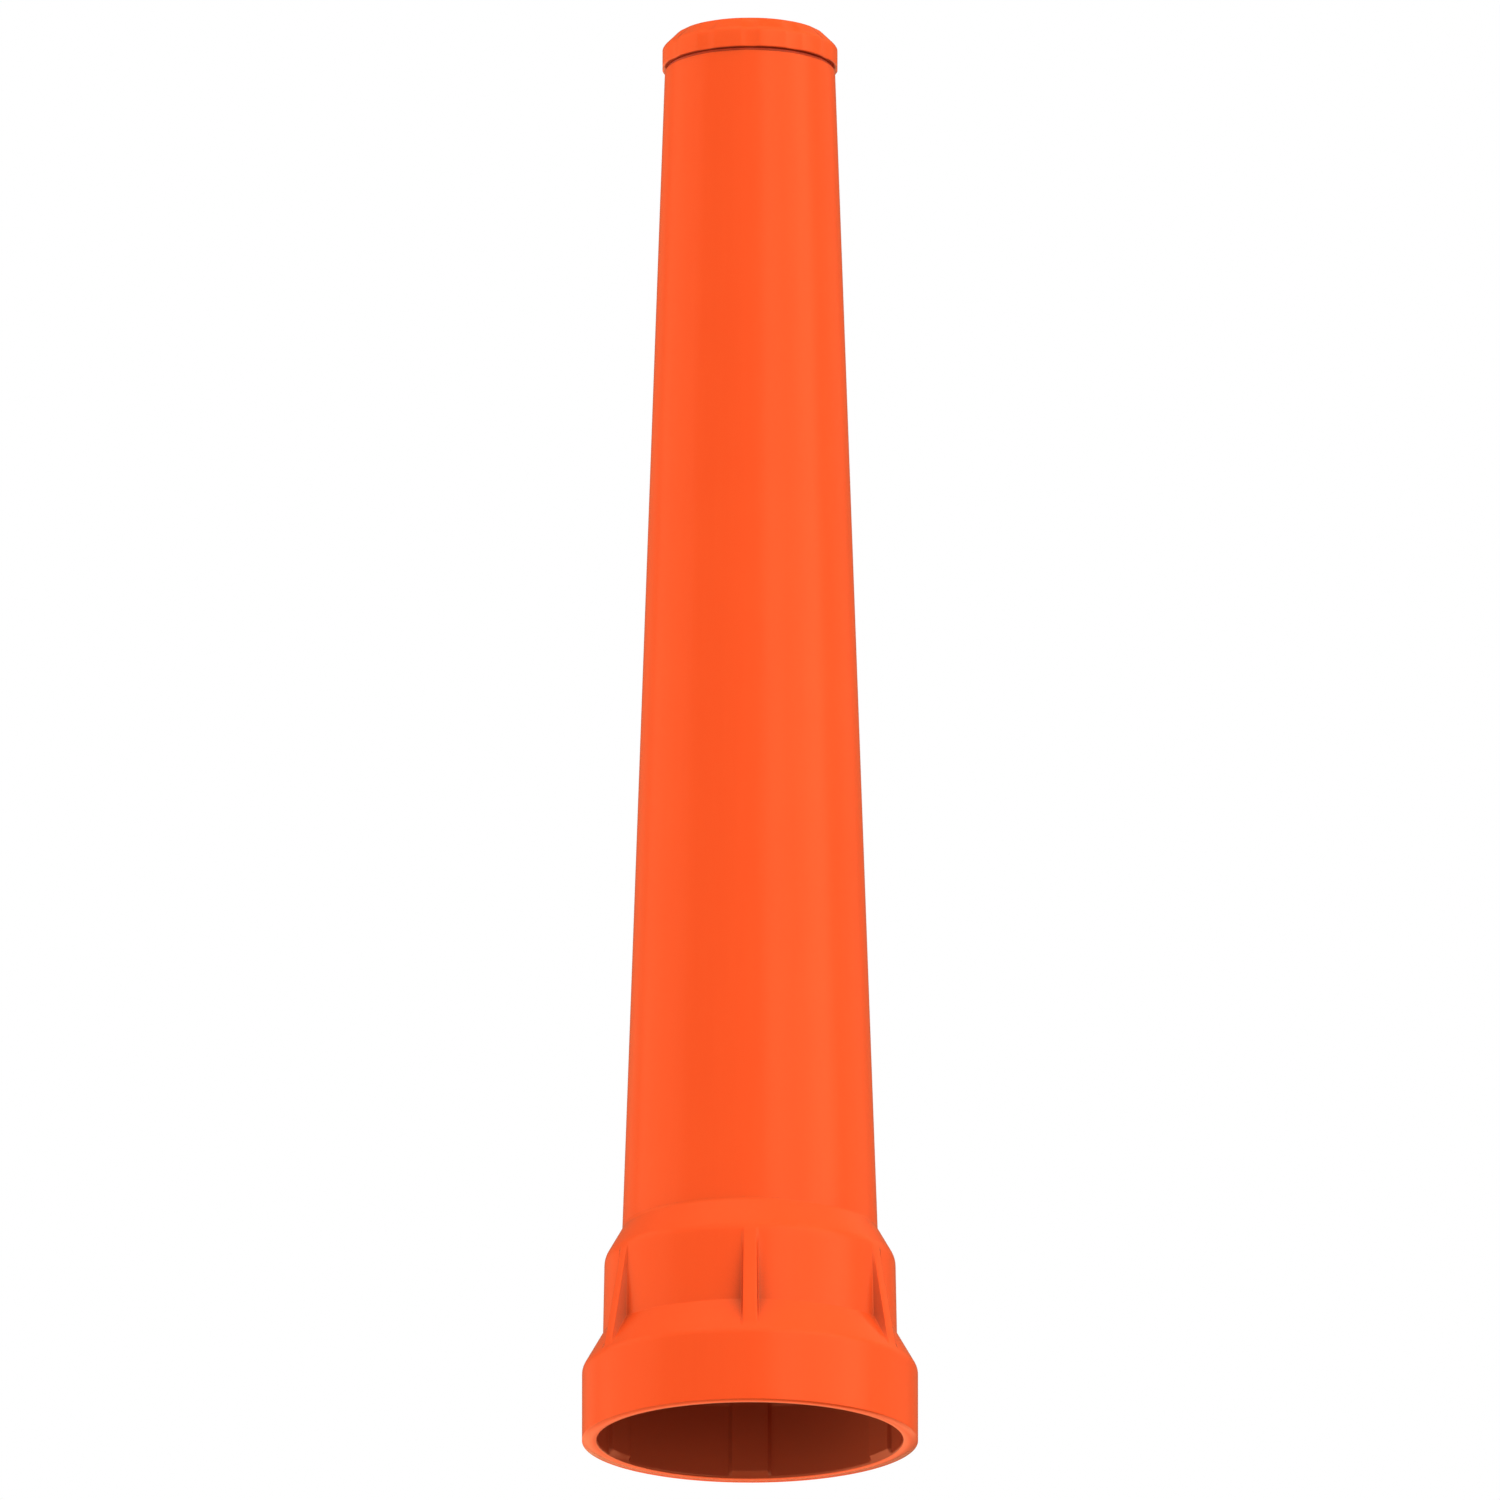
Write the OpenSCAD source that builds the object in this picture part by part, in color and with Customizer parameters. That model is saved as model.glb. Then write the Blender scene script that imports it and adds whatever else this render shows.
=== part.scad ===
// Flashlight traffic wand: a light tube in a slip-on socket, closed by a screw-in end cap.
// +Z runs up the wand's axis from the plane of the socket's open rim. -Y is the front.

/* [Socket] */
// Outer diameter of the collar at the open rim
collar_d = 46; // [45:0.5:48]
// Height of the collar's straight side
collar_h = 9.9; // [9:0.1:11]
// Wall of the collar around the flashlight head
collar_wall = 2.1; // [1.8:0.1:2.4]
// Outer diameter of the band at its lower end
band_d = 40.26; // [40:0.02:40.8]
// Height of the band between the two chamfers
band_h = 10.58; // [10:0.02:12]
// Angle of both chamfers from the axis
chamfer_angle = 30; // [28:1:32]
// Diameter of the throat above the shoulder
throat_d = 36.4; // [36:0.1:36.8]

/* [Ribs and gussets] */
// Number of gussets outside, and of grip ribs inside
rib_count = 6; // [3:1:8]
// Thickness of a gusset
gusset_w = 2.0; // [1.4:0.1:3]
// How far a grip rib stands in from the bore
grip_h = 0.45; // [0.3:0.05:0.8]
// Width of a grip rib's inner face
grip_w = 5.05; // [3:0.05:7]

/* [Light tube] */
// Outer diameter of the tube where it leaves the socket
tube_d = 35; // [34.8:0.1:35.2]
// Outer diameter of the tube at its tip
tip_d = 23.44; // [23.2:0.02:23.8]
// Height of the tube's tip above the rim
tip_z = 194.5; // [160:0.5:230]
// Wall of the tube
tube_wall = 1.8; // [1.5:0.1:1.8]

/* [End cap] */
// Diameter of the cap's flange
cap_d = 24.26; // [24:0.02:25]
// Height of the flange's straight side
cap_side_h = 2.65; // [2:0.05:4]
// Width and height of the chamfer on the cap's edge
cap_chamfer = 1.95; // [1:0.05:2.2]
// Number of finger flutes around the cap
flute_count = 12; // [6:1:16]
// Depth of a finger flute
flute_depth = 0.2; // [0.1:0.05:0.4]
// Thickness of the seal under the cap
seal_t = 0.4; // [0.3:0.05:1]
// Rise of the screw thread in one turn
thread_pitch = 2.5; // [2.3:0.1:3]

/* [Hidden] */
$fn = 96;

orange = "orangered";
front = -90;            // azimuth of the first gusset, rib and flute
arc_steps = 5;          // straight steps in a rounded corner

// Socket, from the rim up
slope = tan(chamfer_angle);
collar_r = collar_d / 2;
bore_r = collar_r - collar_wall;
throat_r = throat_d / 2;
band_r = band_d / 2;
band_draft = 0.2;
band_z = collar_h + (collar_r - band_r) / slope;
band_top_z = band_z + band_h;
band_top_r = band_r - band_draft;
tube_r = tube_d / 2;
neck_z = band_top_z + (band_top_r - tube_r) / slope;
neck_r = tube_r - 0.55;
seat_z = neck_z - 5.5;  // top of the lip that the tube's foot rests on
lip_z = seat_z - 1.2;
lip_r = tube_r - tube_wall + 0.2;
shoulder_z = collar_h + 0.3;
throat_z = shoulder_z + (bore_r - throat_r) / slope;
rim_edge = 0.3;
root = 0.5;             // how far a rib or gusset runs into the wall that carries it

// Gusset: its outer edge, from the band's top to the lower chamfer
gusset_foot_z = collar_h + 0.9;
gusset_foot_r = collar_r - (gusset_foot_z - collar_h) * slope;
gusset_top_z = band_top_z - 0.45;

// Grip rib
grip_draft = 0.37;      // extra half-width at the rib's root
grip_lead = 0.7;        // height of the lead-in at the rim

// Tube
tip_r = tip_d / 2;
tube_slope = (tube_r - tip_r) / (tip_z - neck_z);
spigot_r = neck_r - 0.05;

// Snap joint: a bead round the tube's foot, in a groove inside the neck
snap_z = seat_z + 2.4;
snap_h = 0.2;           // how far the bead stands out
snap_half = 0.2;        // half the bead's height at its crest
snap_slope = 0.4;       // height of each of the bead's slopes
snap_gap = 0.05;

// Screw joint between the tube's tip and the cap's plug
tip_bore_r = tip_r - 1.62;
tip_bore_h = 9.5;
plug_r = tip_bore_r - 0.75;
plug_h = 8;
pilot_r = tip_bore_r - 0.4;
pilot_h = 1.2;
plug_wall = 1.4;
thread_h = 0.55;        // height of either ridge
thread_root = 1.2;      // width of a ridge at its root
thread_crest = 0.6;     // width of a ridge at its crest
thread_steps = 30;      // straight steps in one turn
thread_turns = 2;
thread_z = tip_z - 7;   // where the tube's ridge starts

// Cap and seal
cap_r = cap_d / 2;
cap_z = tip_z + seal_t;
cap_top_z = cap_z + cap_side_h + cap_chamfer;
top_r = cap_r - cap_chamfer;
dish_r = top_r - 1.9;
dish_depth = 0.5;
flute_r = 6;
seal_outer_r = tip_r - 0.27;
seal_inner_r = tip_bore_r - 0.1;

function unit(v) = v / norm(v);

// The outline through corners [x, y, radius], with each corner rounded to its radius
function rounded(corners) = [
    for (i = [0 : len(corners) - 1])
        let (
            last = len(corners) - 1,
            before = corners[i == 0 ? last : i - 1],
            after = corners[i == last ? 0 : i + 1],
            here = [corners[i][0], corners[i][1]],
            u = unit([before[0], before[1]] - here),
            v = unit([after[0], after[1]] - here),
            radius = corners[i][2],
            half = acos(u * v) / 2,
            turn = 180 - 2 * half,
            centre = here + unit(u + v) * radius / sin(half)
        )
        each radius == 0 ? [here] : [
            for (k = [0 : arc_steps])
                let (
                    start = here + u * radius / tan(half) - centre,
                    end = here + v * radius / tan(half) - centre,
                    a = turn * k / arc_steps
                )
                centre + (start * sin(turn - a) + end * sin(a)) / sin(turn)
        ]
];

module ring_of(outline) {
    rotate_extrude() polygon(outline);
}

// A right-handed screw ridge from a root inside the wall to a crest in the open
module screw_ridge(root_r, crest_r, start_z) {
    steps = thread_turns * thread_steps;
    section = [
        [root_r, -thread_root / 2],
        [crest_r, -thread_crest / 2],
        [crest_r, thread_crest / 2],
        [root_r, thread_root / 2]
    ];
    points = [
        for (i = [0 : steps], p = section)
            let (a = i * 360 / thread_steps)
            [p[0] * cos(a), p[0] * sin(a), start_z + p[1] + i * thread_pitch / thread_steps]
    ];
    // The faces wind one way where the crest lies inside the root, and the other way outside it
    sides = [
        for (i = [0 : steps - 1], j = [0 : 3])
            let (
                a = 4 * i + j,
                b = 4 * i + (j + 1) % 4,
                c = b + 4,
                d = a + 4
            )
            each [[a, b, c], [a, c, d]]
    ];
    last = 4 * steps;
    ends = [[0, 3, 2], [0, 2, 1], [last, last + 1, last + 2], [last, last + 2, last + 3]];
    faces = concat(sides, ends);
    outward = crest_r > root_r;
    polyhedron(points, [for (f = faces) outward ? f : [f[2], f[1], f[0]]], convexity = 6);
}

// The tube: a slender cone that snaps into the socket's neck and ends in a threaded tip
module light_tube() {
    inner_r = tube_r - tube_wall;
    function inside(z) = inner_r - (z - neck_z) * tube_slope;
    bore_z = tip_z - tip_bore_h;
    color(orange) {
        ring_of(rounded([
            [inside(seat_z), seat_z, 0],
            [spigot_r, seat_z, 0.3],
            [spigot_r, snap_z - snap_half - snap_slope, 0],
            [spigot_r + snap_h, snap_z - snap_half, 0],
            [spigot_r + snap_h, snap_z + snap_half, 0],
            [spigot_r, snap_z + snap_half + snap_slope, 0],
            [spigot_r, neck_z, 0],
            [tube_r, neck_z, 0],
            [tip_r, tip_z, 0.15],
            [tip_bore_r, tip_z, 0.3],
            [tip_bore_r, bore_z, 0],
            [inside(bore_z), bore_z - 0.4, 0]
        ]));
        screw_ridge(tip_bore_r + root, tip_bore_r - thread_h, thread_z);
    }
}

// The outer skin of the socket and its stepped bore, without ribs
module socket_shell() {
    groove = snap_half + snap_gap;
    ring_of(rounded([
        [bore_r, 0, rim_edge],
        [collar_r, 0, rim_edge],
        [collar_r, collar_h, 2],
        [band_r, band_z, 0],
        [band_top_r, band_top_z, 3],
        [tube_r, neck_z, 0],
        [neck_r, neck_z, 0],
        [neck_r, snap_z + groove + snap_slope, 0],
        [neck_r + snap_h + snap_gap, snap_z + groove, 0],
        [neck_r + snap_h + snap_gap, snap_z - groove, 0],
        [neck_r, snap_z - groove - snap_slope, 0],
        [neck_r, seat_z, 0],
        [lip_r, seat_z, 0],
        [lip_r, lip_z, 0],
        [throat_r, lip_z, 0.4],
        [throat_r, throat_z, 0],
        [bore_r, shoulder_z, 0]
    ]));
}

// One gusset: a thin web from the band's top down to the lower chamfer
module gusset() {
    rotate([90, 0, 0])
        linear_extrude(gusset_w, center = true)
            polygon([
                [band_top_r - root, gusset_top_z + 0.5],
                [band_top_r - 0.1, gusset_top_z + 0.5],
                [band_top_r + 0.05, gusset_top_z],
                [gusset_foot_r, gusset_foot_z],
                [gusset_foot_r - root, gusset_foot_z],
                [band_r - root, band_z]
            ]);
}

// The grip ribs: one drafted ring, kept only where a rib stands
module grip_ribs() {
    inner_r = bore_r - grip_h;
    top_z = shoulder_z + grip_h / slope + 0.2;
    half = grip_w / 2;
    wide = half + grip_draft * (grip_h + root) / grip_h;
    intersection() {
        ring_of([
            [bore_r + root, rim_edge],
            [bore_r, rim_edge],
            [inner_r, rim_edge + grip_lead],
            [inner_r, top_z],
            [bore_r + root, top_z]
        ]);
        for (i = [0 : rib_count - 1])
            rotate(front + i * 360 / rib_count)
                linear_extrude(top_z + 1)
                    polygon([
                        [inner_r - 1, -half + grip_draft],
                        [inner_r, -half],
                        [bore_r + root, -wide],
                        [bore_r + 1.5, -wide],
                        [bore_r + 1.5, wide],
                        [bore_r + root, wide],
                        [inner_r, half],
                        [inner_r - 1, half - grip_draft]
                    ]);
    }
}

module torch_socket() {
    color(orange) {
        socket_shell();
        for (i = [0 : rib_count - 1])
            rotate(front + i * 360 / rib_count) gusset();
        grip_ribs();
    }
}

// One finger flute, cut up the flange's side and on over its chamfer to the same depth
module flute() {
    set_back = flute_r - flute_depth;
    translate([cap_r, 0, cap_z + cap_side_h]) {
        translate([set_back, 0, -cap_side_h - 1]) cylinder(h = cap_side_h + 2, r = flute_r);
        rotate([0, -45, 0]) translate([set_back, 0, -1]) cylinder(h = 2 * cap_chamfer + 1, r = flute_r);
    }
}

module cap_body() {
    plug_z = cap_z - plug_h;
    ring_of(rounded([
        [0, cap_z - 0.9, 0],
        [plug_r - plug_wall, cap_z - 0.9, 0.4],
        [plug_r - plug_wall, plug_z, 0],
        [plug_r - 0.4, plug_z, 0],
        [plug_r, plug_z + 0.5, 0],
        [plug_r, cap_z - pilot_h - 0.4, 0],
        [pilot_r, cap_z - pilot_h, 0],
        [pilot_r, cap_z, 0],
        [cap_r, cap_z, 0.15],
        [cap_r, cap_z + cap_side_h, 1],
        [top_r, cap_top_z, 0.6],
        [dish_r + dish_depth, cap_top_z, 0.2],
        [dish_r, cap_top_z - dish_depth, 0],
        [0, cap_top_z - dish_depth, 0]
    ]));
}

module end_cap() {
    // The cap's ridge runs midway between the turns of the tube's ridge
    ridge_z = thread_z + thread_pitch / 2;
    color(orange) {
        difference() {
            cap_body();
            for (i = [0 : flute_count - 1])
                rotate(front + i * 360 / flute_count) flute();
        }
        screw_ridge(plug_r - root, plug_r + thread_h, ridge_z);
    }
}

module cap_seal() {
    color("sienna")
        ring_of([
            [seal_inner_r, tip_z],
            [seal_outer_r, tip_z],
            [seal_outer_r, cap_z],
            [seal_inner_r, cap_z]
        ]);
}

light_tube();
torch_socket();
end_cap();
cap_seal();
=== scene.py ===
"""A slip-on flashlight traffic wand: the looks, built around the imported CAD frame.

Outlines are in millimetres, as (radius, height) pairs. Meshes are in metres, in the CAD's frame:
+Z runs up the wand's axis from the socket's open rim, and -Y is the front.
"""

import math

import bpy
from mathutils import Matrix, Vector


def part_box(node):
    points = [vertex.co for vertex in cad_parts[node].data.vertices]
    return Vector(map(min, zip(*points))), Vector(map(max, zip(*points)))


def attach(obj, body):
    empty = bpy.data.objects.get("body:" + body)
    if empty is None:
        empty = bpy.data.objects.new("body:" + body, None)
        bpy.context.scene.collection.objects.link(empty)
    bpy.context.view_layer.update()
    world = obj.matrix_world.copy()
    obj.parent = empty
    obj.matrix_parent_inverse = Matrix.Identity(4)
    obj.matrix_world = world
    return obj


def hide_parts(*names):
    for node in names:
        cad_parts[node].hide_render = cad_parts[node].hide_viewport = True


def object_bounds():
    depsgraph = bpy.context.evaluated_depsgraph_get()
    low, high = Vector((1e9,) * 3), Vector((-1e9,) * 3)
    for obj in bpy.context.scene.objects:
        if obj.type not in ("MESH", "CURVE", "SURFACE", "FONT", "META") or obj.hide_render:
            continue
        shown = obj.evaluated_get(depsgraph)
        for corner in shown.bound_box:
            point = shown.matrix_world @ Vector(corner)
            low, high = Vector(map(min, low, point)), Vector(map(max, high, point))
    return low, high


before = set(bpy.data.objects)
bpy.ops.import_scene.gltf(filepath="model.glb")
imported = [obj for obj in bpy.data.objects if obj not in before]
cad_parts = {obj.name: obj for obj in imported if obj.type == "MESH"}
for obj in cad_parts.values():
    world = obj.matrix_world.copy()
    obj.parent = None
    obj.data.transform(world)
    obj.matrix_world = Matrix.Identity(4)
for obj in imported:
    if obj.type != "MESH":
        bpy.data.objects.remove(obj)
cad_low, cad_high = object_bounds()

MM = 0.001
FRONT = -90  # azimuth of the first gusset, rib and flute, in degrees


def node_box(name):
    """A CAD node's lowest and highest corners in millimetres."""
    low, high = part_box(name)
    return low / MM, high / MM


socket_high = node_box("torch_socket")[1]
tube_low, tube_high = node_box("light_tube")
cap_low, cap_high = node_box("end_cap")
seal_low, seal_high = node_box("cap_seal")

# Socket
SLOPE = math.tan(math.radians(30))  # both chamfers lean in 30 degrees from the axis
COLLAR_R = socket_high.x
COLLAR_H = 9.9
COLLAR_WALL = 2.1
BORE_R = COLLAR_R - COLLAR_WALL
THROAT_R = 18.2
BAND_R = 20.13
BAND_TOP_R = 19.93
BAND_Z = COLLAR_H + (COLLAR_R - BAND_R) / SLOPE
NECK_Z = socket_high.z
TUBE_R = tube_high.x
BAND_TOP_Z = NECK_Z - (BAND_TOP_R - TUBE_R) / SLOPE
NECK_R = TUBE_R - 0.55
SEAT_Z = tube_low.z
LIP_Z = SEAT_Z - 1.2
LIP_R = TUBE_R - 1.6
SHOULDER_Z = COLLAR_H + 0.3
THROAT_Z = SHOULDER_Z + (BORE_R - THROAT_R) / SLOPE
RIM_EDGE = 0.3

# Gussets outside the socket and grip ribs inside it
RIB_COUNT = 6
SECTOR = 360 / RIB_COUNT
GUSSET_HALF = 0.9
GUSSET_LEAN = 0.22
GUSSET_EDGE = 0.12
GUSSET_FILLET = 0.16
GUSSET_FOOT_Z = COLLAR_H + 0.9
GUSSET_FOOT_R = COLLAR_R - (GUSSET_FOOT_Z - COLLAR_H) * SLOPE
GUSSET_TOP_Z = BAND_TOP_Z - 0.45
GUSSET_SOFTNESS = 0.08
GRIP_HALF = 2.525
GRIP_H = 0.45
GRIP_LEAD = 0.7
GRIP_LEAN = 0.37
GRIP_EDGE = 0.08
GRIP_FILLET = 0.12
EDGE_SHARE = 0.35  # a low web's edges and fillets shrink to these shares of its height
FILLET_SHARE = 0.45
OPEN_COLUMNS = 14  # columns between a web's fillet and the middle of the gap to the next one

# Light tube
TIP_R = TUBE_R - 5.78
TIP_Z = tube_high.z
TUBE_SLOPE = (TUBE_R - TIP_R) / (TIP_Z - NECK_Z)
TUBE_WALL = 1.8
SPIGOT_R = NECK_R - 0.05
TIP_BORE_R = TIP_R - 1.62
TIP_BORE_H = 9.5
TIP_LEAD = 0.4

# The socket's feather edge, which laps the tube's foot, hides the joint and ends inside the tube's wall
LAP_R = TUBE_R + 0.03
LAP_Z = NECK_Z - 0.05
LAP_BED_R = TUBE_R - 0.02
LAP_TIP_Z = NECK_Z + 0.7
LAP_TIP_R = TUBE_R - (LAP_TIP_Z - NECK_Z) * TUBE_SLOPE - 0.03
LAP_TIP_WALL = 0.03

# Snap joint between the tube's foot and the socket's neck
SNAP_Z = SEAT_Z + 2.4
SNAP_H = 0.2
SNAP_HALF = 0.2
SNAP_SLOPE = 0.4
SNAP_GAP = 0.05

# Screw joint
THREAD_PITCH = 2.5
THREAD_H = 0.55
THREAD_ROOT = 1.2
THREAD_CREST = 0.6
THREAD_EDGE = 0.12
THREAD_SUNK = 0.3  # how far the ridge's root goes into the wall
THREAD_END_SUNK = 0.1  # and how far its crest does at both ends
THREAD_TURNS = 2
THREAD_Z = TIP_Z - 7

# End cap and its seal
CAP_R = TIP_R + 0.41
CAP_Z = seal_high.z
CAP_TOP_Z = cap_high.z
CAP_CHAMFER = 1.95
CAP_SIDE_TOP_Z = CAP_TOP_Z - CAP_CHAMFER
CAP_TOP_R = CAP_R - CAP_CHAMFER
DISH_R = CAP_TOP_R - 1.9
DISH_DEPTH = 0.5
PLUG_Z = cap_low.z
PLUG_R = TIP_BORE_R - 0.75
PLUG_WALL = 1.4
PLUG_LEAD = 0.4
PLUG_LEAD_H = 0.5
CEILING_Z = CAP_Z - 0.9
GATE_R = 0.9  # the moulding gate's stub in the middle of the dish
GATE_TOP_Z = CAP_TOP_Z - DISH_DEPTH + 0.15
PILOT_R = TIP_BORE_R - 0.4
PILOT_H = 1.2
PILOT_LEAD = 0.4
FLUTE_COUNT = 12
FLUTE_DEPTH = 0.2
FLUTE_R = 6.0
FLUTE_SOFTNESS = 0.03
FLUTE_TOP_FADE = 0.3  # a flute fades out over this height below the top
FLUTE_FOOT_FADE = 0.8  # and over this width under the flange, as far again from the plug
COLUMNS_PER_FLUTE = 28

# ---------------------------------------------------------------- outlines


def clamped(value):
    """The value, held between 0 and 1."""
    return min(1.0, max(0.0, value))


def soft_positive(value, softness):
    """The value where it is positive, fading smoothly to nothing where it isn't."""
    return (value + math.sqrt(value * value + softness * softness)) / 2


def unit(x, y):
    length = math.hypot(x, y)
    return x / length, y / length


def rounded(corners, steps=6, closed=True):
    """The outline through corners (r, z, radius), each corner rounded to its radius."""
    points = []
    last = len(corners) - 1
    for i, (r, z, radius) in enumerate(corners):
        if radius == 0 or (not closed and i in (0, last)):
            points.append((r, z))
            continue
        before, after = corners[i - 1], corners[(i + 1) % len(corners)]
        ux, uz = unit(before[0] - r, before[1] - z)
        vx, vz = unit(after[0] - r, after[1] - z)
        half = math.acos(ux * vx + uz * vz) / 2
        turn = math.pi - 2 * half
        bx, bz = unit(ux + vx, uz + vz)
        centre = (r + bx * radius / math.sin(half), z + bz * radius / math.sin(half))
        reach = radius / math.tan(half)
        start = (r + ux * reach - centre[0], z + uz * reach - centre[1])
        end = (r + vx * reach - centre[0], z + vz * reach - centre[1])
        for k in range(steps + 1):
            a = turn * k / steps
            p, q = math.sin(turn - a) / math.sin(turn), math.sin(a) / math.sin(turn)
            points.append((centre[0] + start[0] * p + end[0] * q, centre[1] + start[1] * p + end[1] * q))
    return points


def supported(points, near=0.2, longest=1000.0, closed=True):
    """The same outline with extra points close to each corner, so that smooth shading stays flat."""
    out = []
    count = len(points)
    for i, (r, z) in enumerate(points):
        out.append((r, z))
        if not closed and i == count - 1:
            break
        nr, nz = points[(i + 1) % count]
        length = math.hypot(nr - r, nz - z)
        if length < 3 * near:
            continue
        inner = max(1, math.ceil((length - 2 * near) / longest))
        for k in range(inner + 1):
            t = (near + (length - 2 * near) * k / inner) / length
            out.append((r + (nr - r) * t, z + (nz - z) * t))
    return out


# ---------------------------------------------------------------- meshes


def add_piece(name, vertices, faces, body, node):
    """A smooth-shaded piece that rides on a body and hides the CAD node it stands for."""
    mesh = bpy.data.meshes.new(name)
    mesh.from_pydata([Vector(v) * MM for v in vertices], [], faces)
    mesh.polygons.foreach_set("use_smooth", [True] * len(mesh.polygons))
    mesh.validate()
    piece = bpy.data.objects.new(name, mesh)
    bpy.context.scene.collection.objects.link(piece)
    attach(piece, body)
    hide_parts(node)
    return piece


def polar(r, z, azimuth):
    a = math.radians(azimuth)
    return (r * math.cos(a), r * math.sin(a), z)


def skin(columns, closed=True):
    """Vertices and faces of a skin over columns of points, each column a closed outline."""
    rows = len(columns[0])
    vertices = [p for column in columns for p in column]
    faces = []
    for i in range(len(columns) if closed else len(columns) - 1):
        a, b = i * rows, (i + 1) % len(columns) * rows
        for j in range(rows):
            k = (j + 1) % rows
            faces.append((a + j, b + j, b + k, a + k))
    return vertices, faces


def capped_skin(columns, first_z, last_z):
    """A closed skin over open outlines that start and end near the axis, closed there by two fans."""
    rows = len(columns[0])
    vertices = [p for column in columns for p in column]
    first = len(vertices)
    vertices += [(0, 0, first_z), (0, 0, last_z)]
    faces = []
    for i in range(len(columns)):
        a, b = i * rows, (i + 1) % len(columns) * rows
        faces.append((first, b, a))
        for j in range(rows - 1):
            faces.append((a + j, b + j, b + j + 1, a + j + 1))
        faces.append((first + 1, a + rows - 1, b + rows - 1))
    return vertices, faces


def turned(outline, count=192):
    return skin([[polar(r, z, i * 360 / count) for r, z in outline] for i in range(count)])


def joined(*parts):
    """Several lots of vertices and faces as one."""
    vertices, faces = [], []
    for v, f in parts:
        base = len(vertices)
        vertices += v
        faces += [tuple(i + base for i in face) for face in f]
    return vertices, faces


def screw_ridge(wall_r, crest_r, start_z, steps=60):
    """A right-handed ridge swept round the wall, sinking into it at both ends."""
    out = 1 if crest_r > wall_r else -1
    root_r = wall_r - out * THREAD_SUNK
    section = rounded(
        [
            (root_r, -THREAD_ROOT / 2, 0),
            (wall_r, -THREAD_ROOT / 2, 0),
            (crest_r, -THREAD_CREST / 2, THREAD_EDGE),
            (crest_r, THREAD_CREST / 2, THREAD_EDGE),
            (wall_r, THREAD_ROOT / 2, 0),
            (root_r, THREAD_ROOT / 2, 0),
        ],
        steps=3,
    )
    count = THREAD_TURNS * steps
    run_in = steps / 8  # each end rises out of the wall over an eighth of a turn
    columns = []
    for i in range(count + 1):
        rise = min(1.0, i / run_in, (count - i) / run_in)
        sink = (1 - rise) * (THREAD_H + THREAD_END_SUNK) * out
        z = start_z + i * THREAD_PITCH / steps
        columns.append([polar(r - sink, z + h, i * 360 / steps) for r, h in section])
    vertices, faces = skin(columns, closed=False)
    rows = len(section)
    faces.append(tuple(range(rows)))
    faces.append(tuple(reversed(range(count * rows, (count + 1) * rows))))
    if out < 0:
        faces = [tuple(reversed(f)) for f in faces]
    return vertices, faces


# ---------------------------------------------------------------- light tube


def light_tube():
    """The tube, with its snap bead, its bored-out tip and the screw ridge in it."""

    def inside(z):
        return TUBE_R - TUBE_WALL - (z - NECK_Z) * TUBE_SLOPE

    bore_z = TIP_Z - TIP_BORE_H
    outline = rounded(
        [
            (inside(SEAT_Z), SEAT_Z, 0.1),
            (SPIGOT_R, SEAT_Z, 0.3),
            (SPIGOT_R, SNAP_Z - SNAP_HALF - SNAP_SLOPE, 0.1),
            (SPIGOT_R + SNAP_H, SNAP_Z - SNAP_HALF, 0.1),
            (SPIGOT_R + SNAP_H, SNAP_Z + SNAP_HALF, 0.1),
            (SPIGOT_R, SNAP_Z + SNAP_HALF + SNAP_SLOPE, 0.1),
            (SPIGOT_R, NECK_Z, 0.1),
            (TUBE_R, NECK_Z, 0.04),
            (TIP_R, TIP_Z, 0.15),
            (TIP_BORE_R, TIP_Z, 0.3),
            (TIP_BORE_R, bore_z, 0.04),
            (inside(bore_z), bore_z - TIP_LEAD, 0.1),
        ]
    )
    body = turned(supported(outline, longest=20))
    ridge = screw_ridge(TIP_BORE_R, TIP_BORE_R - THREAD_H, THREAD_Z)
    return add_piece("light_tube_shell", *joined(body, ridge), "wand", "light_tube")


# ---------------------------------------------------------------- socket


def web_section(half, edge, lean, fillet):
    """Half of a web's cross-section, from the middle of its crest to the foot of its fillet.

    Each point is (offset sideways, share of the web's height, rise by the edge, rise by the fillet).
    """
    quarter = [0, 30, 60, 90]
    flat = half - edge
    crest = [(0.0, 1.0, 0.0, 0.0), (0.6 * flat, 1.0, 0.0, 0.0)]
    over = []
    for t in quarter:
        a = math.radians(t)
        over.append((flat + edge * math.sin(a), 1.0, edge * (math.cos(a) - 1), 0.0))
    under = []
    for t in quarter:
        a = math.radians(t)
        under.append((half + lean + fillet * (1 - math.cos(a)), 0.0, 0.0, fillet * (1 - math.sin(a))))
    return crest + over + under


def half_sector(section, radius):
    """The columns from a web's middle to the middle of the gap, each as its angle and its rises."""
    columns = [(math.degrees(u / radius), full, edge, fillet) for u, full, edge, fillet in section]
    start = columns[-1][0]
    for k in range(1, OPEN_COLUMNS + 1):
        columns.append((start + (SECTOR / 2 - start) * k / OPEN_COLUMNS, 0.0, 0.0, 0.0))
    return columns


def lift(height, full, edge, fillet, edge_r, fillet_r):
    """How far a column stands off the wall where the web is this high."""
    if height <= 0:
        return 0.0
    edge_scale = min(1.0, EDGE_SHARE * height / edge_r)
    fillet_scale = min(1.0, FILLET_SHARE * height / fillet_r)
    return full * height + edge * edge_scale + fillet * fillet_scale


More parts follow.
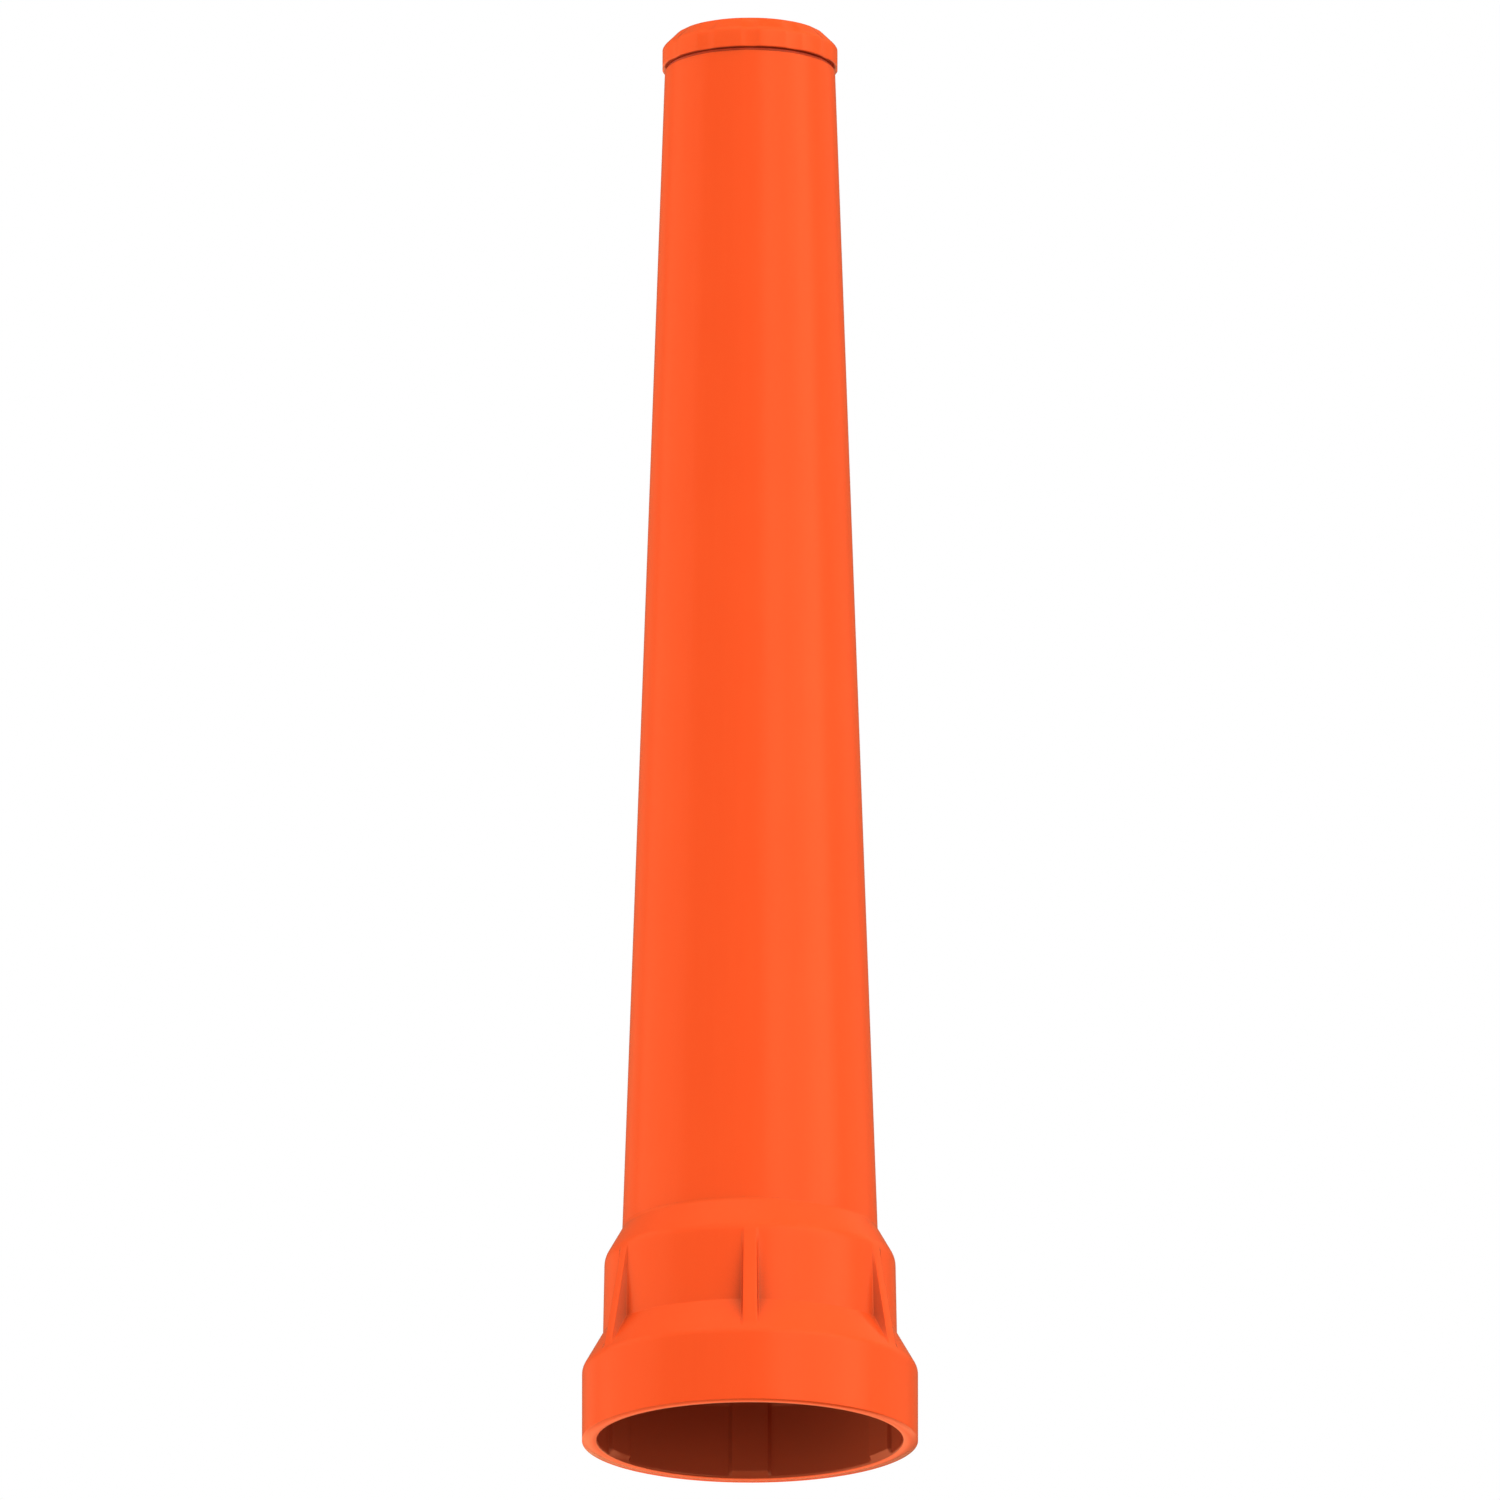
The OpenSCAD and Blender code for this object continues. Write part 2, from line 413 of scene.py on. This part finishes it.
def gusset_height(r, z):
    """How far a gusset's straight outer edge stands out from the wall's point at (r, z)."""
    t = (z - GUSSET_FOOT_Z) / (GUSSET_TOP_Z - GUSSET_FOOT_Z)
    if not -0.1 < t < 1.0:
        return 0.0
    out = GUSSET_FOOT_R + (BAND_TOP_R - GUSSET_FOOT_R) * t - r
    fade = clamped((out + 0.6) / 0.5)  # to nothing where the wall is well outside the edge
    return soft_positive(out, GUSSET_SOFTNESS) * fade


def grip_height(r, z):
    """How far a grip rib's face stands in from the wall's point at (r, z)."""
    if z <= RIM_EDGE or r > BORE_R + 0.001:
        return 0.0
    face_r = BORE_R - GRIP_H * clamped((z - RIM_EDGE) / GRIP_LEAD)
    return max(0.0, r - face_r)


def socket_outside():
    """The outline from the rim's outer edge up to the tip of the feather edge."""
    corners = [
        (COLLAR_R, 0.0, RIM_EDGE),
        (COLLAR_R, COLLAR_H, 2.0),
        (BAND_R, BAND_Z, 0.3),
        (BAND_TOP_R, BAND_TOP_Z, 3.0),
        (LAP_R, LAP_Z, 0.7),
        (LAP_TIP_R, LAP_TIP_Z, 0.0),
    ]
    return supported(rounded(corners, closed=False), near=0.15, longest=0.5, closed=False)


def socket_inside():
    """The outline from the feather edge down past the snap groove, lip, throat and shoulder."""
    groove_r = NECK_R + SNAP_H + SNAP_GAP
    groove = SNAP_HALF + SNAP_GAP
    corners = [
        (LAP_TIP_R - LAP_TIP_WALL, LAP_TIP_Z, 0.0),
        (LAP_BED_R, NECK_Z, 0.0),
        (NECK_R, NECK_Z, 0.0),
        (NECK_R, SNAP_Z + groove + SNAP_SLOPE, 0.0),
        (groove_r, SNAP_Z + groove, 0.0),
        (groove_r, SNAP_Z - groove, 0.0),
        (NECK_R, SNAP_Z - groove - SNAP_SLOPE, 0.0),
        (NECK_R, SEAT_Z, 0.0),
        (LIP_R, SEAT_Z, 0.1),
        (LIP_R, LIP_Z, 0.2),
        (THROAT_R, LIP_Z, 0.4),
        (THROAT_R, THROAT_Z, 0.3),
        (BORE_R, SHOULDER_Z, 0.15),
        (BORE_R, RIM_EDGE + GRIP_LEAD, 0.0),
        (BORE_R, RIM_EDGE, 0.0),
        (BORE_R + 0.12, 0.08, 0.1),
        (BORE_R + RIM_EDGE, 0.0, 0.0),
    ]
    return supported(rounded(corners, closed=False), near=0.12, longest=1.2, closed=False)


def torch_socket():
    """The socket, its gussets raised from the outside and its grip ribs from the inside."""
    outside = socket_outside()
    inside = socket_inside()
    gusset = half_sector(web_section(GUSSET_HALF, GUSSET_EDGE, GUSSET_LEAN, GUSSET_FILLET), BAND_R)
    grip = half_sector(web_section(GRIP_HALF, GRIP_EDGE, GRIP_LEAN, GRIP_FILLET), BORE_R)

    def column(centre, index, side):
        out_angle, *out_rises = gusset[index]
        in_angle, *in_rises = grip[index]
        points = []
        for r, z in outside:
            up = lift(gusset_height(r, z), *out_rises, GUSSET_EDGE, GUSSET_FILLET)
            points.append(polar(r + up, z, centre + side * out_angle))
        for r, z in inside:
            up = lift(grip_height(r, z), *in_rises, GRIP_EDGE, GRIP_FILLET)
            points.append(polar(r - up, z, centre + side * in_angle))
        return points

    columns = []
    for k in range(RIB_COUNT):
        centre = FRONT + k * SECTOR
        columns += [column(centre, i, -1) for i in range(len(gusset) - 2, 0, -1)]
        columns += [column(centre, i, 1) for i in range(len(gusset))]
    return add_piece("torch_socket_shell", *skin(columns), "wand", "torch_socket")


# ---------------------------------------------------------------- end cap


def flute_depth(offset):
    """How deep a flute is at this distance round the flange from its middle."""
    if offset >= FLUTE_R:
        return 0.0
    cutter = FLUTE_R - math.sqrt(FLUTE_R**2 - offset**2)
    flange = offset * offset / (2 * CAP_R)
    return soft_positive(FLUTE_DEPTH - cutter - flange, FLUTE_SOFTNESS)


def cap_outline():
    """The outline from the plug's hollow round the plug and the flange to the gate's stub on top."""
    dish_z = CAP_TOP_Z - DISH_DEPTH
    corners = rounded(
        [
            (0.4, CEILING_Z, 0.0),
            (PLUG_R - PLUG_WALL, CEILING_Z, 0.4),
            (PLUG_R - PLUG_WALL, PLUG_Z, 0.1),
            (PLUG_R - PLUG_LEAD, PLUG_Z, 0.1),
            (PLUG_R, PLUG_Z + PLUG_LEAD_H, 0.1),
            (PLUG_R, CAP_Z - PILOT_H - PILOT_LEAD, 0.1),
            (PILOT_R, CAP_Z - PILOT_H, 0.1),
            (PILOT_R, CAP_Z, 0.1),
            (CAP_R, CAP_Z, 0.15),
            (CAP_R, CAP_SIDE_TOP_Z, 1.0),
            (CAP_TOP_R, CAP_TOP_Z, 0.6),
            (DISH_R + DISH_DEPTH, CAP_TOP_Z, 0.2),
            (DISH_R, dish_z, 0.3),
            (GATE_R + 0.1, dish_z, 0.05),
            (GATE_R, GATE_TOP_Z, 0.06),
            (0.3, GATE_TOP_Z, 0.0),
        ],
        closed=False,
    )
    return supported(corners, longest=1.0, closed=False)


def fluted(r, z, depth):
    """A point of the outline, set back into a flute on the flange's side and chamfer."""
    if r < CAP_TOP_R - 0.1 or z < CAP_Z - 0.01:
        return r, z
    lean = math.radians(45) * clamped(z - CAP_SIDE_TOP_Z + 0.5)
    back = depth * clamped((CAP_TOP_Z - z) / FLUTE_TOP_FADE)
    if z <= CAP_Z + 0.1:
        back *= clamped((r - PILOT_R - FLUTE_FOOT_FADE) / FLUTE_FOOT_FADE)
    return r - back * math.cos(lean), z - back * math.sin(lean)


def end_cap():
    """The cap, with finger flutes round its flange and a screw ridge on its plug."""
    outline = cap_outline()
    count = FLUTE_COUNT * COLUMNS_PER_FLUTE
    columns = []
    for i in range(count):
        azimuth = i * 360 / count
        k = (i % COLUMNS_PER_FLUTE) / COLUMNS_PER_FLUTE
        offset = math.radians(min(k, 1 - k) * 360 / FLUTE_COUNT) * CAP_R
        depth = flute_depth(offset)
        columns.append([polar(*fluted(r, z, depth), FRONT + azimuth) for r, z in outline])
    body = capped_skin(columns, CEILING_Z, GATE_TOP_Z)
    ridge = screw_ridge(PLUG_R, PLUG_R + THREAD_H, THREAD_Z + THREAD_PITCH / 2)
    return add_piece("end_cap_body", *joined(body, ridge), "cap", "end_cap")


def cap_seal():
    """The flat ring between the tube's tip and the cap."""
    outer_r = seal_high.x
    inner_r = TIP_BORE_R - 0.1
    outline = rounded(
        [
            (inner_r, seal_low.z, 0.1),
            (outer_r, seal_low.z, 0.15),
            (outer_r, seal_high.z, 0.15),
            (inner_r, seal_high.z, 0.1),
        ]
    )
    return add_piece("cap_seal_ring", *turned(supported(outline, near=0.05)), "seal", "cap_seal")


# ---------------------------------------------------------------- materials

DEEP_ORANGE = (0.93, 0.082, 0.0133, 1)
LIGHT_ORANGE = (0.95, 0.088, 0.0147, 1)
DEEP_CAP_ORANGE = (0.93, 0.090, 0.0155, 1)
LIGHT_CAP_ORANGE = (0.95, 0.097, 0.0175, 1)
ORANGE_GLOSS = (1.0, 0.36, 0.18, 1)
DEEP_RUBBER = (0.60, 0.048, 0.004, 1)
LIGHT_RUBBER = (0.72, 0.060, 0.006, 1)
# A dark brown painted as shade into corners, hollows and the socket's mouth
SHADE_BROWN = (0.355, 0.063, 0.023, 1)

PLASTIC_IOR = 1.5
TUBE_ROUGHNESS = 0.18
SOCKET_ROUGHNESS = 0.20
CAP_ROUGHNESS = 0.18
STREAK_ROUGHNESS = 0.02  # how much the streaks and the grain change the roughness, up or down
GRAIN_ROUGHNESS = 0.03
TRANSLUCENCY = 0.08
GLOW_RADIUS = (1.0, 0.25, 0.08)
GLOW_DEPTH = 1.2 * MM
RUBBER_IOR = 1.48
RUBBER_ROUGHNESS = (0.55, 0.75)

# Noise textures, in features per metre
CLOUD_SCALE = 55.0
STREAK_SCALE = 900.0
STREAK_STRETCH = (1, 1, 0.03)  # long along the axis
RIPPLE_SCALE = 260.0
GRAIN_SCALE = 5200.0
BLOOM_SCALE = 1400.0
NOISE_MIDDLE = (0.3, 0.7)  # most of a noise texture's values lie between these
CLOUD_SHARE = 0.65
STREAK_SHARE = 0.35

# Bumps: a depth in metres, and the share of it that each texture takes
PLASTIC_BUMP_DEPTH = 0.012 * MM
GRAIN_BUMP = 0.35
RIPPLE_BUMP = 0.5
RUBBER_BUMP_DEPTH = 0.02 * MM
BLOOM_BUMP = 0.4

# Painted shade in corners and hollows: how far ambient occlusion looks from a wall, in metres, and how
# open to the air a spot is where the painted shade starts and where it is darkest
CORNER_REACH = 60 * MM
UNSHADED_OPENNESS = 0.95
FULL_SHADE_OPENNESS = 0.55
DARKEST_SHADE = 0.94

# The socket's mouth gets painted shade up to this distance from the frame's origin, in metres
MOUTH_R = (BORE_R + 0.1) * MM
MOUTH_EDGE = 0.1 * MM
MOUTH_SHADE = 0.85


class Nodes:
    """Short calls for building the node tree of a material or of the world."""

    def __init__(self, tree):
        self.tree = tree
        tree.nodes.clear()

    def add(self, kind, **values):
        """A new node, with values for its properties and its input sockets."""
        node = self.tree.nodes.new(kind)
        for key, value in values.items():
            if hasattr(node, key):
                setattr(node, key, value)
            else:
                node.inputs[key].default_value = value
        return node

    def feed(self, source, socket):
        """Link a node's output to the socket, or set the socket to a plain value."""
        if isinstance(source, bpy.types.NodeSocket):
            self.tree.links.new(source, socket)
        else:
            socket.default_value = source

    def end(self, kind, shader):
        self.feed(shader, self.add(kind).inputs["Surface"])


def new_material(name):
    material = bpy.data.materials.new(name)
    material.use_nodes = True
    return material, Nodes(material.node_tree)


def summed(n, first, second):
    node = n.add("ShaderNodeMath", operation="ADD")
    n.feed(first, node.inputs[0])
    n.feed(second, node.inputs[1])
    return node.outputs[0]


def mapped(n, value, start, end, low, high, shape="LINEAR"):
    """The value's run from start to end as a run from low to high, held there beyond the ends."""
    node = n.add("ShaderNodeMapRange", interpolation_type=shape)
    node.inputs["From Min"].default_value = start
    node.inputs["From Max"].default_value = end
    node.inputs["To Min"].default_value = low
    node.inputs["To Max"].default_value = high
    n.feed(value, node.inputs["Value"])
    return node.outputs["Result"]


def distance_from_origin(n, coords):
    node = n.add("ShaderNodeVectorMath", operation="LENGTH")
    n.feed(coords, node.inputs[0])
    return node.outputs["Value"]


def mixed_colour(n, amount, first, second):
    node = n.add("ShaderNodeMix", data_type="RGBA")
    n.feed(amount, node.inputs[0])
    n.feed(first, node.inputs[6])
    n.feed(second, node.inputs[7])
    return node.outputs[2]


def mixed_shader(n, amount, first, second):
    node = n.add("ShaderNodeMixShader")
    n.feed(amount, node.inputs[0])
    n.feed(first, node.inputs[1])
    n.feed(second, node.inputs[2])
    return node.outputs[0]


def noise(n, coords, scale, detail, stretch=(1, 1, 1)):
    """A noise texture with a feature about 1/scale metres across."""
    mapping = n.add("ShaderNodeMapping", Scale=stretch)
    n.feed(coords, mapping.inputs["Vector"])
    texture = n.add("ShaderNodeTexNoise", Scale=scale, Detail=detail)
    n.feed(mapping.outputs["Vector"], texture.inputs["Vector"])
    return texture.outputs["Fac"]


def ranged(n, value, low, high):
    """A noise texture's middle values spread from low to high."""
    return mapped(n, value, *NOISE_MIDDLE, low, high)


def bumped(n, height, strength, depth, normal=None):
    node = n.add("ShaderNodeBump", Strength=strength, Distance=depth)
    n.feed(height, node.inputs["Height"])
    if normal is not None:
        n.feed(normal, node.inputs["Normal"])
    return node.outputs["Normal"]


def painted_shade_amount(n, coords, mouth_r):
    """How much painted shade a spot gets: more in corners and hollows, where ambient occlusion finds
    them, and up to mouth_r from the origin.
    """
    openness = n.add("ShaderNodeAmbientOcclusion", samples=8, Distance=CORNER_REACH)
    corners = mapped(n, openness.outputs["AO"], UNSHADED_OPENNESS, FULL_SHADE_OPENNESS, 0.0, DARKEST_SHADE)
    distance = distance_from_origin(n, coords)
    mouth = mapped(n, distance, mouth_r + MOUTH_EDGE, mouth_r, 0.0, MOUTH_SHADE)
    most = n.add("ShaderNodeMath", operation="MAXIMUM")
    n.feed(corners, most.inputs[0])
    n.feed(mouth, most.inputs[1])
    return most.outputs[0]


def tinted_gloss(n, colour, roughness, normal):
    """A slightly translucent body with an orange-tinted mirror over it, mixed by Fresnel."""
    body = n.add("ShaderNodeBsdfPrincipled", IOR=PLASTIC_IOR)
    body.inputs["Specular IOR Level"].default_value = 0.0
    body.inputs["Subsurface Weight"].default_value = TRANSLUCENCY
    body.inputs["Subsurface Radius"].default_value = GLOW_RADIUS
    body.inputs["Subsurface Scale"].default_value = GLOW_DEPTH
    n.feed(colour, body.inputs["Base Color"])
    n.feed(roughness, body.inputs["Roughness"])
    n.feed(normal, body.inputs["Normal"])

    mirror = n.add("ShaderNodeBsdfGlossy", Color=ORANGE_GLOSS)
    n.feed(roughness, mirror.inputs["Roughness"])
    n.feed(normal, mirror.inputs["Normal"])

    fresnel = n.add("ShaderNodeFresnel", IOR=PLASTIC_IOR)
    n.feed(normal, fresnel.inputs["Normal"])
    return mixed_shader(n, fresnel.outputs["Fac"], body.outputs[0], mirror.outputs[0])


def plastic(name, deep, light, roughness, mouth_r=0.0):
    """Moulded plastic: spark texture, flow streaks, clouding, tinted gloss, and shade painted into
    corners, hollows and, with mouth_r, the socket's mouth.
    """
    material, n = new_material(name)
    coords = n.add("ShaderNodeTexCoord").outputs["Object"]
    cloud = noise(n, coords, CLOUD_SCALE, detail=3.0)
    streak = noise(n, coords, STREAK_SCALE, detail=2.0, stretch=STREAK_STRETCH)
    ripple = noise(n, coords, RIPPLE_SCALE, detail=1.0)
    grain = noise(n, coords, GRAIN_SCALE, detail=2.0)

    tone = summed(n, ranged(n, cloud, 0.0, CLOUD_SHARE), ranged(n, streak, 0.0, STREAK_SHARE))
    unshaded_colour = mixed_colour(n, tone, deep, light)
    # Painted shade: the colour darkens toward a brown in corners, hollows and the socket's mouth
    colour = mixed_colour(n, painted_shade_amount(n, coords, mouth_r), unshaded_colour, SHADE_BROWN)

    streaky = ranged(n, streak, roughness - STREAK_ROUGHNESS, roughness + STREAK_ROUGHNESS)
    rough = summed(n, streaky, ranged(n, grain, -GRAIN_ROUGHNESS, GRAIN_ROUGHNESS))
    fine = bumped(n, grain, GRAIN_BUMP, PLASTIC_BUMP_DEPTH)
    normal = bumped(n, ripple, RIPPLE_BUMP, PLASTIC_BUMP_DEPTH, fine)
    n.end("ShaderNodeOutputMaterial", tinted_gloss(n, colour, rough, normal))
    return material


def rubber(name):
    """The seal's dull red-brown rubber, with a dusting of paler bloom."""
    material, n = new_material(name)
    coords = n.add("ShaderNodeTexCoord").outputs["Object"]
    bloom = noise(n, coords, BLOOM_SCALE, detail=4.0)
    tone = ranged(n, bloom, 0.0, 1.0)
    shader = n.add("ShaderNodeBsdfPrincipled", IOR=RUBBER_IOR)
    n.feed(mixed_colour(n, tone, DEEP_RUBBER, LIGHT_RUBBER), shader.inputs["Base Color"])
    n.feed(ranged(n, bloom, *RUBBER_ROUGHNESS), shader.inputs["Roughness"])
    n.feed(bumped(n, bloom, BLOOM_BUMP, RUBBER_BUMP_DEPTH), shader.inputs["Normal"])
    n.end("ShaderNodeOutputMaterial", shader.outputs[0])
    return material


# ---------------------------------------------------------------- stage

# Floor, in metres. It fades to white between two distances from the wand.
FLOOR_HALF = 20.0
FLOOR_Z = -0.1 * MM  # a hair below the rim's face, so that the two aren't in one plane
FLOOR_COLOUR = (0.86, 0.86, 0.86, 1)
FADE_START = 0.1
FADE_END = 0.9
WHITE = (1, 1, 1, 1)

# Azimuth, elevation, radius of the even part, radius at the edge, all in degrees, and brightness
SOFTBOXES = [
    (50, 10, 22, 44, 2.3),
    (-44, 26, 49, 84, 0.9),
    (-95, 18, 22, 32, 0.75),
    (-131, -38, 35, 61, 1.75),
    (146, -30, 14, 28, 2.8),
    (97, 33, 20, 48, 1.2),
    (0, 60, 20, 50, 0.8),
    (180, 20, 30, 60, 0.46),
    (180, -18, 12, 32, 0.18),
    (0, -90, 15, 45, 0.48),
]
EVEN_GLOW = 0.09

# Camera, with lens and sensor in millimetres
LENS = 1500.0
SENSOR = 36.0
CAMERA_ELEVATION = -15.07
VIEW_WIDTH = 205.85 * MM  # the picture's width at the wand
AIM_BELOW_MIDDLE = 1.85 * MM


def floor_white():
    """A pale floor near the wand and plain white far from it, see-through from below."""
    material, n = new_material("floor_white")
    distance = distance_from_origin(n, n.add("ShaderNodeTexCoord").outputs["Object"])
    fade = mapped(n, distance, FADE_START, FADE_END, 0.0, 1.0, "SMOOTHSTEP")
    pale = n.add("ShaderNodeBsdfDiffuse", Color=FLOOR_COLOUR)
    white = n.add("ShaderNodeEmission", Color=WHITE, Strength=1.0)
    clear = n.add("ShaderNodeBsdfTransparent")
    above = mixed_shader(n, fade, pale.outputs[0], white.outputs[0])
    below = n.add("ShaderNodeNewGeometry").outputs["Backfacing"]
    n.end("ShaderNodeOutputMaterial", mixed_shader(n, below, above, clear.outputs[0]))
    return material


def floor():
    """A floor that fades into the white backdrop. It lights nothing and shades nothing."""
    a, z = FLOOR_HALF, FLOOR_Z
    mesh = bpy.data.meshes.new("floor")
    mesh.from_pydata([(-a, -a, z), (a, -a, z), (a, a, z), (-a, a, z)], [], [(0, 1, 2, 3)])
    obj = bpy.data.objects.new("floor", mesh)
    bpy.context.scene.collection.objects.link(obj)
    obj.data.materials.append(floor_white())
    obj.visible_diffuse = False
    obj.visible_glossy = False
    obj.visible_transmission = False
    obj.visible_shadow = False


def direction(azimuth, elevation):
    """Away from the wand: azimuth 0 is the front, 90 the right as seen from the front."""
    a, e = math.radians(azimuth), math.radians(elevation)
    return Vector((math.sin(a) * math.cos(e), -math.cos(a) * math.cos(e), math.sin(e)))


def softbox(n, coords, azimuth, elevation, even, edge, brightness):
    """A round patch of light in the surroundings, even inside and faded at its edge."""
    dot = n.add("ShaderNodeVectorMath", operation="DOT_PRODUCT")
    dot.inputs[1].default_value = direction(azimuth, elevation)
    n.feed(coords, dot.inputs[0])
    start = math.cos(math.radians(edge))
    end = math.cos(math.radians(even))
    return mapped(n, dot.outputs["Value"], start, end, 0.0, brightness, "SMOOTHSTEP")


def studio_world():
    """Soft studio surroundings: an even glow with softboxes, seen by the camera as plain white."""
    world = bpy.data.worlds.new("studio")
    world.use_nodes = True
    bpy.context.scene.world = world
    n = Nodes(world.node_tree)
    coords = n.add("ShaderNodeTexCoord").outputs["Generated"]
    glow = EVEN_GLOW
    for box in SOFTBOXES:
        glow = summed(n, glow, softbox(n, coords, *box))
    lighting = n.add("ShaderNodeBackground")
    n.feed(glow, lighting.inputs["Strength"])
    backdrop = n.add("ShaderNodeBackground", Color=WHITE, Strength=1.0)
    seen = n.add("ShaderNodeLightPath").outputs["Is Camera Ray"]
    n.end("ShaderNodeOutputWorld", mixed_shader(n, seen, lighting.outputs[0], backdrop.outputs[0]))


def camera():
    """A long lens about 15 degrees below the horizontal, looking up at the front."""
    data = bpy.data.cameras.new("camera")
    data.lens = LENS
    data.sensor_width = SENSOR
    data.clip_end = 100.0
    obj = bpy.data.objects.new("camera", data)
    bpy.context.scene.collection.objects.link(obj)
    target = Vector((0, 0, (cad_low.z + cad_high.z) / 2 - AIM_BELOW_MIDDLE))
    obj.location = target + direction(0, CAMERA_ELEVATION) * (VIEW_WIDTH * LENS / SENSOR)
    obj.rotation_euler = (target - obj.location).to_track_quat("-Z", "Y").to_euler()
    bpy.context.scene.camera = obj


# ---------------------------------------------------------------- the wand

camera()
floor()
studio_world()
bpy.context.scene.view_settings.view_transform = "Standard"

tube_plastic = plastic("tube_plastic", DEEP_ORANGE, LIGHT_ORANGE, TUBE_ROUGHNESS)
# The socket's plastic also has shade painted into its mouth
socket_plastic = plastic("socket_plastic", DEEP_ORANGE, LIGHT_ORANGE, SOCKET_ROUGHNESS, MOUTH_R)
cap_plastic = plastic("cap_plastic", DEEP_CAP_ORANGE, LIGHT_CAP_ORANGE, CAP_ROUGHNESS)

light_tube().data.materials.append(tube_plastic)
torch_socket().data.materials.append(socket_plastic)
end_cap().data.materials.append(cap_plastic)
cap_seal().data.materials.append(rubber("seal_rubber"))
